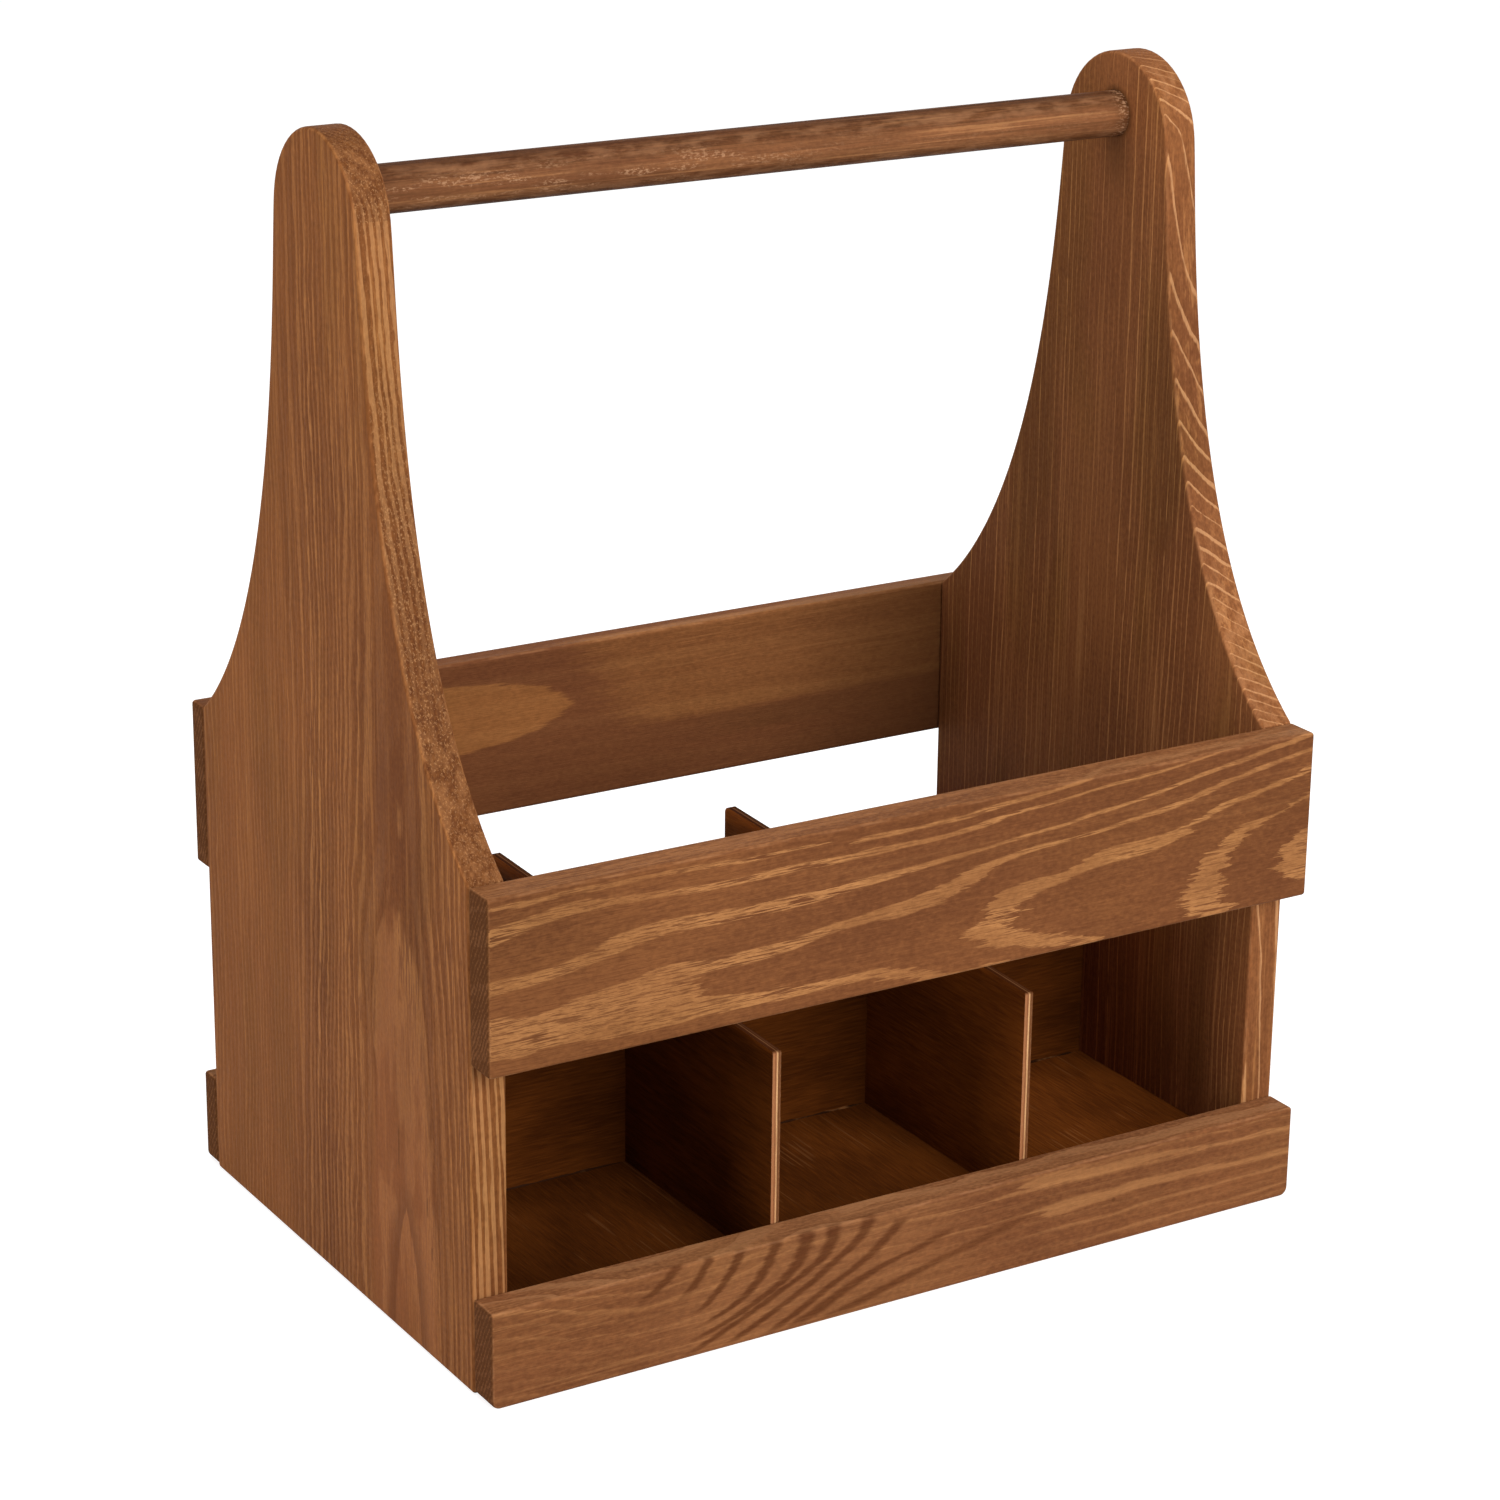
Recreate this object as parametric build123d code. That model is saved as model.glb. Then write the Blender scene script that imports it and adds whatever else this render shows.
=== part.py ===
"""Bottle caddy for six bottles, all wood, glued and pinned.

Two bottle-shaped end panels stand on the floor. A pair of upper rails and a pair of lower rails lie across
their front and back edges, a round handle runs between their heads, and a thin floor sits in grooves. Three
plywood dividers, halved together, make six cells.

Millimetres. X runs along the handle, -Y is the front, +Z is up. The origin is on the floor, at the centre
of the footprint.
"""
import os
from math import cos, radians, sin

from build123d import *

os.makedirs("parts", exist_ok=True)

# End panels
length = 300.0  # over the outer faces of the two panels
panel_width = 186.0
panel_height = 367.5
panel_t = 12.0
panel_round = 1.2  # sanded arrises
corner_round = 1.5  # corners of the outline, at the feet and the shoulders

# Panel outline, from the head down to the shoulder
head_r = 28.0
neck_lean = 10.0  # degrees from upright, where the neck leaves the head
shoulder_lean = 52.0  # degrees from upright, where the curve ends
neck_pull = 20.0  # how far the curve keeps the neck's direction
shoulder_pull = 79.0  # how far it keeps the shoulder's direction

# Rails
front_rail_t = 12.0
back_rail_t = 9.0
lower_rail_h = 32.0
upper_rail_h = 56.0
rail_gap = 75.5  # open height between a lower and an upper rail
rail_round = 1.2
foot_round = 3.0  # bottom corners of a lower rail

# Handle, in blind bores
handle_d = 15.0
handle_drop = 20.0  # from the top of the panel to the handle's axis
handle_seat = 6.0
handle_fit = 0.1  # radial clearance

# Floor, in grooves
floor_t = 4.0
floor_under = 12.0  # open height under the floor
groove_depth = 4.0
groove_play = 0.2  # above the board
groove_end_gap = 0.3  # between the board's edge and the bottom of a groove

# Dividers
divider_t = 3.0
divider_h = 73.5  # at the front end of a cross divider, and all along the long one
divider_rise = 4.5  # how much higher a cross divider is at the back
left_divider_x = -44.4
right_divider_x = 49.6
divider_front_round = 0.8  # top corners of a cross divider
divider_back_round = 2.5
divider_end_gap = 0.2
halving_play = 0.15  # on each side of a slot and above it

# Pins between the rails and the panels' edges
pin_d = 6.0
pin_in_panel = 16.0
pin_cover = 4.0  # wood left between a bore and the rail's face
pin_fit = 0.05  # radial clearance
pin_end_gap = 0.5
pin_chamfer = 0.6
upper_pin_pitch = 32.0
lower_pin_pitch = 17.0

# Places that follow from the sizes above
panel_y = (front_rail_t - back_rail_t) / 2
front_edge_y = panel_y - panel_width / 2
back_edge_y = panel_y + panel_width / 2
inner_x = length / 2 - panel_t
upper_rail_z = lower_rail_h + rail_gap
shoulder_z = upper_rail_z + upper_rail_h
handle_z = panel_height - handle_drop
floor_top = floor_under + floor_t
slot_w = divider_t + 2 * halving_play
halving_z = floor_top + divider_h / 2
pin_x = length / 2 - panel_t / 2

LEFT, RIGHT = -1, 1
FRONT, BACK = -1, 1


def block(x0, x1, y0, y1, z0, z1):
    """A box between two corners."""
    return Pos((x0 + x1) / 2, (y0 + y1) / 2, (z0 + z1) / 2) * Box(x1 - x0, y1 - y0, z1 - z0)


def panel_outline():
    """The outline, seen from the end: straight sides, shoulders, long hollow curves and a round head."""
    head_z = panel_height - head_r
    foot = Vector(panel_width / 2, 0)
    shoulder = Vector(panel_width / 2, shoulder_z)
    lean, slope = radians(neck_lean), radians(shoulder_lean)
    temple = Vector(head_r * cos(lean), head_z + head_r * sin(lean))
    neck_aim = temple + Vector(sin(lean), -cos(lean)) * neck_pull
    shoulder_aim = shoulder - Vector(sin(slope), -cos(slope)) * shoulder_pull
    crown = Vector(0, panel_height)
    mid = radians((90 + neck_lean) / 2)
    brow = Vector(head_r * cos(mid), head_z + head_r * sin(mid))
    side = Line(foot, shoulder)
    hollow = Bezier(shoulder, shoulder_aim, neck_aim, temple)
    head = ThreePointArc(temple, brow, crown)
    half = Curve() + [side, hollow, head]
    face = make_face(half + mirror(half, Plane.YZ) + Line(-foot, foot))
    feet_and_shoulders = face.vertices().sort_by(Axis.Y)[:4]
    return fillet(feet_and_shoulders, corner_round)


def across(side, reach):
    """The two y values between an edge of the panels and a plane `reach` outside it, low one first."""
    edge = front_edge_y if side == FRONT else back_edge_y
    return sorted((edge, edge + side * reach))


def rail_thickness(side):
    return front_rail_t if side == FRONT else back_rail_t


def pin_heights(level):
    """Heights of the two pins in one end of a rail."""
    if level == "lower":
        middle, pitch = lower_rail_h / 2, lower_pin_pitch
    else:
        middle, pitch = upper_rail_z + upper_rail_h / 2, upper_pin_pitch
    return (middle - pitch / 2, middle + pitch / 2)


def pin_rods(side, level, end, radius, panel_reach, rail_reach):
    """The two rods of one joint, from inside the panel's edge to inside the rail."""
    edge = front_edge_y if side == FRONT else back_edge_y
    middle_y = edge + side * (rail_reach - panel_reach) / 2
    upright = Rot(90, 0, 0) * Cylinder(radius, panel_reach + rail_reach)
    return [Pos(end * pin_x, middle_y, z) * upright for z in pin_heights(level)]


def pin_bores(side, level, end):
    return pin_rods(side, level, end, pin_d / 2 + pin_fit, pin_in_panel, rail_thickness(side) - pin_cover)


def pins(side, level, end):
    """Two glued pins of one joint, a little short of their bores at both ends."""
    in_rail = rail_thickness(side) - pin_cover - pin_end_gap
    rods = pin_rods(side, level, end, pin_d / 2, pin_in_panel - pin_end_gap, in_rail)
    return Compound(children=[chamfer(rod.edges().filter_by(GeomType.CIRCLE), pin_chamfer) for rod in rods])


def end_panel(end):
    """A bottle-shaped panel with a blind bore for the handle, a floor groove and the bores for its pins."""
    inner, outer = end * inner_x, end * length / 2
    slab = extrude(Plane.YZ.offset(min(inner, outer)) * Pos(panel_y, 0) * panel_outline(), panel_t)
    rims = slab.faces().filter_by(Axis.X).edges()
    panel = fillet(rims, panel_round)
    seat = Pos(inner + end * handle_seat / 2, panel_y, handle_z) * Rot(0, 90, 0)
    panel -= seat * Cylinder(handle_d / 2 + handle_fit, handle_seat)
    groove_x = sorted((inner, inner + end * groove_depth))
    panel -= block(*groove_x, front_edge_y, back_edge_y, floor_under, floor_top + groove_play)
    for side in (FRONT, BACK):
        for level in ("lower", "upper"):
            panel -= pin_bores(side, level, end)
    return panel


def rail(side, level):
    """A rail on one edge of both panels. A lower one has a stopped groove for the floor."""
    thickness = rail_thickness(side)
    z0, height = (0, lower_rail_h) if level == "lower" else (upper_rail_z, upper_rail_h)
    bar = block(-length / 2, length / 2, *across(side, thickness), z0, z0 + height)
    if level == "lower":
        feet = bar.edges().filter_by(Axis.Y).group_by(Axis.Z)[0]
        bar = fillet(feet, foot_round)
    rims = bar.faces().filter_by(Axis.Y).edges()
    corners = bar.faces().sort_by(Axis.Z)[-1].edges().filter_by(Axis.Y)
    if level == "upper":
        corners += bar.faces().sort_by(Axis.Z)[0].edges().filter_by(Axis.Y)
    bar = fillet(rims + corners, rail_round)
    if level == "lower":
        half_groove = inner_x + groove_depth
        groove_y = across(side, groove_depth)
        bar -= block(-half_groove, half_groove, *groove_y, floor_under, floor_top + groove_play)
    for end in (LEFT, RIGHT):
        bar -= pin_bores(side, level, end)
    return bar


def handle():
    """A plain round dowel whose ends reach the bottoms of their bores."""
    return Pos(0, panel_y, handle_z) * Rot(0, 90, 0) * Cylinder(handle_d / 2, 2 * (inner_x + handle_seat))


def floor_board():
    reach = groove_depth - groove_end_gap
    half_x = inner_x + reach
    return block(-half_x, half_x, front_edge_y - reach, back_edge_y + reach, floor_under, floor_top)


def long_divider():
    """The divider along the middle, slotted from its top edge for each cross divider."""
    half_x, half_t = inner_x - divider_end_gap, divider_t / 2
    top = floor_top + divider_h
    sheet = block(-half_x, half_x, panel_y - half_t, panel_y + half_t, floor_top, top)
    for x in (left_divider_x, right_divider_x):
        slot_x = (x - slot_w / 2, x + slot_w / 2)
        sheet -= block(*slot_x, panel_y - slot_w, panel_y + slot_w, halving_z - halving_play, top)
    return sheet


def cross_divider(x):
    """A divider from front to back that rises a little to the back, slotted from below for the long one."""
    top = floor_top + divider_h
    front, back = front_edge_y + divider_end_gap, back_edge_y - divider_end_gap
    outline = Polyline((front, floor_top), (front, top), (back, top + divider_rise), (back, floor_top), close=True)
    sheet = extrude(Plane.YZ.offset(x - divider_t / 2) * make_face(outline), divider_t)
    rounds = (divider_front_round, divider_back_round)
    for place, radius in enumerate(rounds):
        top_corners = sheet.edges().filter_by(Axis.X).sort_by(Axis.Z)[-2:]
        sheet = fillet(top_corners.sort_by(Axis.Y)[place], radius)
    slot_y = (panel_y - slot_w / 2, panel_y + slot_w / 2)
    return sheet - block(x - slot_w, x + slot_w, *slot_y, floor_top, halving_z + halving_play)


pieces = {
    "left_end_panel": end_panel(LEFT),
    "right_end_panel": end_panel(RIGHT),
    "handle": handle(),
    "floor_board": floor_board(),
    "long_divider": long_divider(),
    "left_cross_divider": cross_divider(left_divider_x),
    "right_cross_divider": cross_divider(right_divider_x),
}
for side_name, side in (("front", FRONT), ("back", BACK)):
    for level in ("lower", "upper"):
        pieces[f"{side_name}_{level}_rail"] = rail(side, level)
        for end_name, end in (("left", LEFT), ("right", RIGHT)):
            pieces[f"{side_name}_{level}_{end_name}_pins"] = pins(side, level, end)

for name, shape in pieces.items():
    export_step(shape, f"parts/{name}.step")
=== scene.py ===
"""The looks of a bottle caddy: stained pine boards, dark plywood, beads of glue and a white studio.

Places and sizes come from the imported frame, in metres. Patterns in the wood are worked out in
millimetres from Object coordinates, which are the caddy's own: X runs along the handle, -Y is the front
and +Z is up.
"""
from math import cos, hypot, radians, sin

import bmesh
import bpy
import numpy as np
from mathutils import Matrix, Vector


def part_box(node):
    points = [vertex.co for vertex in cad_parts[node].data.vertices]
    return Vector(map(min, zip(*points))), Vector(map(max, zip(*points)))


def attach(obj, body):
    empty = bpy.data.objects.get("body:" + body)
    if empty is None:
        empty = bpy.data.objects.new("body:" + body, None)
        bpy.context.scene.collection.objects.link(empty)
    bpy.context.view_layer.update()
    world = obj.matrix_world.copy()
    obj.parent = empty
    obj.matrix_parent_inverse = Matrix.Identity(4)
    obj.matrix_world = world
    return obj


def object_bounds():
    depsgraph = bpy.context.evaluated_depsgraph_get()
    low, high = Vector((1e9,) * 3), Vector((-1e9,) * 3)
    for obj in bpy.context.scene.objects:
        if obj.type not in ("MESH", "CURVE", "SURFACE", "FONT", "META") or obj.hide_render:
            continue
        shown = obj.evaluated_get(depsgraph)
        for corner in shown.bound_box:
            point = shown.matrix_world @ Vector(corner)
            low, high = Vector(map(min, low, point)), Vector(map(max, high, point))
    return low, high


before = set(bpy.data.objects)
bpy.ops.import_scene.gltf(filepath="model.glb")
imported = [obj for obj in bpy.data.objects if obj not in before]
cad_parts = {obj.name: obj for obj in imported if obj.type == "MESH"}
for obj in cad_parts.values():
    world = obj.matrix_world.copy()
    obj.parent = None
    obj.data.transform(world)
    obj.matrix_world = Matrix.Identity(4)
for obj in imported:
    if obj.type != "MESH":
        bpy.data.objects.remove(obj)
cad_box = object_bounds()

MM = 0.001
X, Y, Z = 0, 1, 2

# Camera, fitted to the edges of the caddy in the photograph: sensor and lens in mm, its place in
# metres, and its angles in degrees
SENSOR = 36.0
LENS = 97.158
EYE = (-0.647449, -1.058026, 0.584355)
EYE_AZIMUTH = -31.4827
EYE_ELEVATION = 19.2245
EYE_ROLL = 0.6891

# Stain on pine, as seen on a screen: early wood drinks it and turns red-brown, late wood stays honey
EARLY = (125, 78, 45)
EARLY_DARK = (103, 61, 36)
LATE = (170, 117, 71)
LATE_TAN = (147, 97, 57)
END_GRAIN = (84, 50, 27)
END_LINE = (128, 82, 49)
STREAK = (92, 55, 30)
SAWN = (172, 118, 76)
RING_LINE = (206, 158, 114)
PORE = (186, 142, 102)
WORN = (184, 132, 90)
# Marks that only some boards have
FLAME = (145, 92, 60)
CALM = (130, 82, 47)
CURL = (82, 44, 21)
HONEY = (172, 112, 60)
RED_WOOD = (106, 62, 38)
SMOKE = (84, 52, 28)
# Factors that multiply the colour under them: a greenish stain, and painted shade inside the cells
OLIVE = (0.84, 0.90, 0.76)
CELL_PAINTED_SHADE = (0.60, 0.42, 0.36)

# How much plain reflection a finish keeps, how rough it is, and how deep its relief goes, in mm
PINE_GLOSS = 0.02
PLY_GLOSS = 0.01
PINE_ROUGH = 0.56
PLY_ROUGH = 0.6
PIN_ROUGH = 0.6
GLUE_ROUGH = 0.45
PINE_RELIEF = 0.06
PLY_RELIEF = 0.05
PIN_RELIEF = 0.03
GLUE_RELIEF = 0.05

# Stain on plywood, its plies and the glue between them. The face colours are darker than the stained wood,
# painted shade that stands for the shade inside the cells.
PLY_FACE_WITH_PAINTED_SHADE = (100, 52, 16)
PLY_FACE_DARK_WITH_PAINTED_SHADE = (66, 31, 8)
PLY_CORE = (226, 176, 124)
PLY_VENEER = (160, 104, 68)
PLY_VENEER_DARK = (112, 70, 42)
PLY_SEAM = (92, 54, 31)
# Dried glue along the dividers' feet, and the bare wood of the hidden pins
GLUE = (122, 78, 44)
GLUE_DARK = (46, 23, 9)
RAW_PIN = (205, 172, 126)
RAW_PIN_DARK = (184, 148, 104)


def linear(rgb):
    """A colour in 0 to 255, as seen on a screen, as the linear one that a shader takes."""
    share = np.array(rgb) / 255
    low, high = share / 12.92, ((share + 0.055) / 1.055) ** 2.4
    return (*np.where(share <= 0.04045, low, high), 1.0)


# Sums on surfaces, which become shader nodes


class Value:
    """A number, point or colour worked out at every place on a surface."""

    def __init__(self, tree, socket):
        self.tree, self.socket = tree, socket

    def calc(self, operation, *others):
        node = self.tree.nodes.new("ShaderNodeMath")
        node.operation = operation
        for place, value in enumerate((self, *others)):
            feed(self.tree, node.inputs[place], value)
        return Value(self.tree, node.outputs[0])

    def __add__(self, other):
        return self.calc("ADD", other)

    def __sub__(self, other):
        return self.calc("SUBTRACT", other)

    def __mul__(self, other):
        return self.calc("MULTIPLY", other)

    def __truediv__(self, other):
        return self.calc("DIVIDE", other)

    def __rsub__(self, other):
        return (self * -1) + other

    __radd__ = __add__

    def squared(self):
        return self * self

    def root(self):
        return self.calc("SQRT")

    def size(self):
        return self.calc("ABSOLUTE")

    def part(self):
        """What is left over a whole number."""
        return self.calc("FRACT")

    def whole(self):
        return self.calc("FLOOR")

    def least(self, other):
        return self.calc("MINIMUM", other)

    def most(self, other):
        return self.calc("MAXIMUM", other)

    def rise(self, low, high, start=0.0, end=1.0, soft=True):
        """Goes from start to end as this value goes from low to high, and stays there."""
        node = self.tree.nodes.new("ShaderNodeMapRange")
        node.interpolation_type = "SMOOTHSTEP" if soft else "LINEAR"
        for socket, value in zip(node.inputs, (self, low, high, start, end)):
            feed(self.tree, socket, value)
        return Value(self.tree, node.outputs[0])

    def hump(self, middle, reach):
        """1 at the middle, falling to 0 at the reach on both sides."""
        return (self - middle).size().rise(0.0, reach, 1.0, 0.0)


def feed(tree, socket, value):
    """Link a worked-out value to a socket, or set a plain one on it."""
    if isinstance(value, Value):
        tree.links.new(value.socket, socket)
    else:
        socket.default_value = value


def blend(share, first, second):
    """The first colour where share is 0, and the second where it is 1."""
    tree = share.tree
    node = tree.nodes.new("ShaderNodeMix")
    node.data_type = "RGBA"
    feed(tree, node.inputs["Factor"], share)
    for name, colour in (("A", first), ("B", second)):
        socket = [s for s in node.inputs if s.name == name and s.type == "RGBA"][0]
        feed(tree, socket, colour)
    return Value(tree, [s for s in node.outputs if s.type == "RGBA"][0])


def tint(colour, strength):
    """A colour made lighter or darker by a factor."""
    tree = strength.tree
    node = tree.nodes.new("ShaderNodeVectorMath")
    node.operation = "SCALE"
    feed(tree, node.inputs[0], colour)
    feed(tree, node.inputs["Scale"], strength)
    return Value(tree, node.outputs[0])


def stain(colour, factors):
    """A colour with its red, green and blue each multiplied."""
    tree = colour.tree
    node = tree.nodes.new("ShaderNodeVectorMath")
    node.operation = "MULTIPLY"
    feed(tree, node.inputs[0], colour)
    node.inputs[1].default_value = factors
    return Value(tree, node.outputs[0])


def point(u, v, w):
    """One point from its three coordinates."""
    tree = u.tree
    node = tree.nodes.new("ShaderNodeCombineXYZ")
    for socket, value in zip(node.inputs, (u, v, w)):
        feed(tree, socket, value)
    return Value(tree, node.outputs[0])


def noise(place, sizes, seed, detail=2.0, rough=0.5):
    """Soft noise from -1 to 1. Sizes are the lengths of its specks along the three axes, in mm."""
    tree = place[0].tree
    node = tree.nodes.new("ShaderNodeTexNoise")
    node.inputs["Scale"].default_value = 1.0
    node.inputs["Detail"].default_value = detail
    node.inputs["Roughness"].default_value = rough
    u, v, w = (p * (1 / s) for p, s in zip(place, sizes))
    feed(tree, node.inputs["Vector"], point(u + seed, v + 2 * seed, w - seed))
    return Value(tree, node.outputs[0]).rise(0.25, 0.75, -1.0, 1.0, soft=False)


def follow(value, marks):
    """The height of a smooth line through (place, height) marks, at a place along it."""
    tree = value.tree
    node = tree.nodes.new("ShaderNodeFloatCurve")
    node.mapping.extend = "HORIZONTAL"
    places, heights = zip(*marks)
    start, run = places[0], places[-1] - places[0]
    low, climb = min(heights), max(heights) - min(heights)
    points = node.mapping.curves[0].points
    for place in places[1:-1]:
        points.new((place - start) / run, 0.5)
    for point_on_line, (place, height) in zip(points, marks):
        point_on_line.location = ((place - start) / run, (height - low) / climb)
        point_on_line.handle_type = "AUTO_CLAMPED"
    node.mapping.update()
    feed(tree, node.inputs["Value"], (value - start) / run)
    return Value(tree, node.outputs[0]) * climb + low


def within(height, upper, lower):
    """How deep a height lies between two lines, and below zero outside them."""
    return (upper - height).least(height - lower)


def chance(value, seed):
    """A random share from 0 to 1 that stays the same wherever the value is the same."""
    tree = value.tree
    node = tree.nodes.new("ShaderNodeTexWhiteNoise")
    node.noise_dimensions = "1D"
    feed(tree, node.inputs["W"], value + seed)
    return Value(tree, node.outputs[0])


class Finish:
    """One material being made: its place and direction fields, and its shader."""

    def __init__(self, name):
        self.material = bpy.data.materials.new(name)
        self.material.use_nodes = True
        self.tree = self.material.node_tree
        self.shader = self.tree.nodes["Principled BSDF"]
        self.coordinates = self.tree.nodes.new("ShaderNodeTexCoord")

    def axes(self, output):
        split = self.tree.nodes.new("ShaderNodeSeparateXYZ")
        self.tree.links.new(self.coordinates.outputs[output], split.inputs[0])
        return [Value(self.tree, socket) for socket in split.outputs]

    def place(self):
        """Where on the caddy, along X, Y and Z, in mm."""
        return [axis * (1 / MM) for axis in self.axes("Object")]

    def facing(self):
        """How squarely the surface faces X, Y and Z, from 0 to 1."""
        return [axis.size() for axis in self.axes("Normal")]

    def finish(self, colour, rough, height, relief, gloss):
        feed(self.tree, self.shader.inputs["Base Color"], colour)
        feed(self.tree, self.shader.inputs["Roughness"], rough)
        self.shader.inputs["Specular IOR Level"].default_value = gloss
        bump = self.tree.nodes.new("ShaderNodeBump")
        bump.inputs["Strength"].default_value = 1.0
        bump.inputs["Distance"].default_value = relief * MM
        feed(self.tree, bump.inputs["Height"], height)
        self.tree.links.new(bump.outputs[0], self.shader.inputs["Normal"])
        return self.material


# Pine

# Noises in pine: the lengths of their specks along the grain and twice across it, in mm, what is added
# to the board's seed, the detail and the roughness
PINE_NOISES = {
    "sway": ((150, 50, 50), 0, 1.0, 0.5),
    "shiver": ((26, 8, 8), 3, 2.5, 0.55),
    "fray": ((15, 1.0, 1.0), 5, 3.0, 0.6),
    "patch": ((48, 12, 12), 7, 2.0, 0.5),
    "fibre": ((13, 0.55, 0.55), 9, 2.0, 0.6),
    "hair": ((3.5, 0.30, 0.30), 11, 1.0, 0.5),
    "blotch": ((110, 40, 40), 13, 2.0, 0.5),
    "speck": ((1.1, 0.7, 0.7), 15, 2.0, 0.5),
    "wear": ((9, 3, 3), 17, 3.0, 0.5),
    "line": ((120, 2.6, 2.6), 19, 3.0, 0.65),
    "mottle": ((1.8, 1.0, 1.0), 21, 2.0, 0.5),
    "thread": ((40, 0.7, 0.7), 23, 2.0, 0.6),
    "calm": ((160, 22, 22), 27, 1.0, 0.5),
    "dots": ((1.0, 0.6, 0.6), 29, 2.0, 0.7),
    "drift": ((90, 30, 30), 31, 1.0, 0.5),
}
SWAY = 1.8  # how far the rings stray in long waves, in mm
END_RING = 3.1  # width of a ring on a cut end, in mm


def steps(level, marks):
    """Counts up by one between each mark and the next, and keeps the last rate past the last mark."""
    total = None
    for low, high in zip(marks, marks[1:]):
        share = level.rise(low, high, soft=False)
        total = share if total is None else total + share
    last = (level - marks[-1]) / (marks[-1] - marks[-2])
    return total + last.most(0.0)


def pine(name, grain, board, rings, seed, late_share, vary=0.7, contrast=1.0, crisp=1.0, ragged=0.12,
         wave=0.9, streaks=0.25, sides=(0.4, 0.3, 0.0), olive=0.15, tone=(1.0, 1.0, 1.0), drawn=None,
         overlay=None):
    """Stained pine, worked out through the whole thickness, so that faces, edges and ends agree.

    Grain is the axis that the fibres follow, and board the one that the broad faces look along. The
    surface is cut by growth rings. Each is a count that the board's own function of place gives: its
    whole number is the year, and its fraction runs from early wood, dark, to late wood, pale. The late
    share is how much of a year is late wood, and vary how much that differs from year to year. The late
    wood starts in fibres as ragged as asked, shows with the given contrast, and stops sharply in a
    crisp board but fades in one that was sanded more. Wave is how far the rings stray in short waves,
    in mm. Streaks are long fibres that drank more or less stain, olive is how strongly greenish drifts
    show, and the tone multiplies red, green and blue.

    Sides says, for the narrow sides, how much paler they are than the faces, how strongly the rings
    show and how strongly the pores show where the side cuts across the grain. The paler sides are
    sawn wood, and on the rails' top faces also painted light from above. Drawn gives a board its
    own late wood, and an overlay what lies over it.
    """
    wood = Finish(name)
    here = wood.place()
    facing = wood.facing()
    order = (here[grain], *(here[axis] for axis in (X, Y, Z) if axis != grain))
    end = facing[grain].rise(0.45, 0.9)
    if grain == Z:
        end = end * 0.2
    side = facing[board].rise(0.25, 0.75, 1.0, 0.0) * (1.0 - end)
    paler, side_contrast, pores = sides

    def grain_noise(kind):
        sizes, apart, detail, rough = PINE_NOISES[kind]
        return noise(order, sizes, seed + apart, detail, rough)

    # The rings, moved a little out of their even course
    sway = grain_noise("sway") * SWAY
    shiver = grain_noise("shiver") * wave
    moved = [p if axis == grain else p + sway + shiver for axis, p in enumerate(here)]
    count = rings(*moved)
    year, season = count.whole(), count.part()

    # Where the late wood of each year starts, and how sharply it does and ends
    fray = grain_noise("fray")
    patch = grain_noise("patch")
    luck = chance(year, seed)
    share = (luck * vary + 1.0 - vary / 2) * late_share
    opening = 1.0 - share + fray * ragged + patch * 0.08
    blur = (1.0 - side) * (1.0 - crisp)
    fade = blur * 0.30 + 0.05
    close = 0.97 - blur * 0.25
    pale = season.rise(opening - fade, opening + fade) * (season + fray * 0.02).rise(close, 1.0, 1.0, 0.0)

    if drawn is not None:
        pale = drawn(here[X], here[Y], here[Z] + shiver * 0.5, fray)

    # Stain on the early and the late wood, with long streaks and short dark strokes
    line = grain_noise("line")
    thread = grain_noise("thread")
    calm = grain_noise("calm").rise(-0.5, 0.6, 0.35, 1.25)
    streak = (line * 0.7 + thread * 0.45) * calm
    fibre = grain_noise("fibre")
    hair = grain_noise("hair")
    mottle = grain_noise("mottle")
    blotch = grain_noise("blotch")
    stroke = (fibre + patch * 0.2).rise(0.12, 0.42)
    spared = (blotch * 0.5 + mottle * 0.4 + fibre * 0.3).rise(-0.8, 0.8)
    early = blend(spared, linear(EARLY_DARK), linear(EARLY))
    early = blend(streak.rise(0.0, 0.8) * streaks, early, linear(LATE))
    early = blend(streak.rise(-0.8, 0.0, 1.0, 0.0) * streaks, early, linear(STREAK))
    warmth = (patch * 0.7 + mottle * 0.3 + fibre * 0.3).rise(-0.9, 0.7)
    late = blend(warmth, linear(LATE_TAN), linear(LATE))
    late = blend(stroke * (patch * 0.5 + 0.7), late, linear(EARLY_DARK))

    # Narrow sides: sawn wood, pale ring lines and, where the side cuts across the grain, pores
    rasp = (streak * 0.3 + mottle * 0.3 + fray * 0.3 + season * 0.6).rise(-0.5, 0.9)
    # Paler sawn wood on the narrow sides, and on the rails' top faces also painted light from above
    early = blend(side * rasp * paler, early, linear(SAWN))
    late = blend(side * side_contrast * 0.8, late, linear(RING_LINE))
    face_strength = (chance(year, seed + 2) * vary * 1.7 + 1.0 - vary * 0.85 + patch * 0.25) * contrast
    strength = side.rise(0.0, 1.0, face_strength, side_contrast, soft=False)
    colour = blend((pale * strength).least(1.0).most(0.0), early, late)
    if pores:
        crossed = side * facing[Z].rise(0.05, 0.6)
        dots = grain_noise("dots")
        red = blend(mottle.rise(-0.6, 0.6), linear(RED_WOOD), linear(EARLY))
        colour = tint(blend(crossed * pores, colour, red), 1.0 - crossed * 0.20)
        dotted = side * facing[Z].rise(0.02, 0.25) * pores
        colour = tint(colour, 1.0 - dotted * 0.17)
        colour = blend(dotted * dots.rise(0.2, 0.55) * 0.45, colour, linear(PORE))
        colour = blend(dotted * dots.rise(-0.7, -0.4, 1.0, 0.0) * 0.35, colour, linear(EARLY_DARK))
    if overlay is not None:
        colour = overlay(colour, here, fray)

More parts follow.
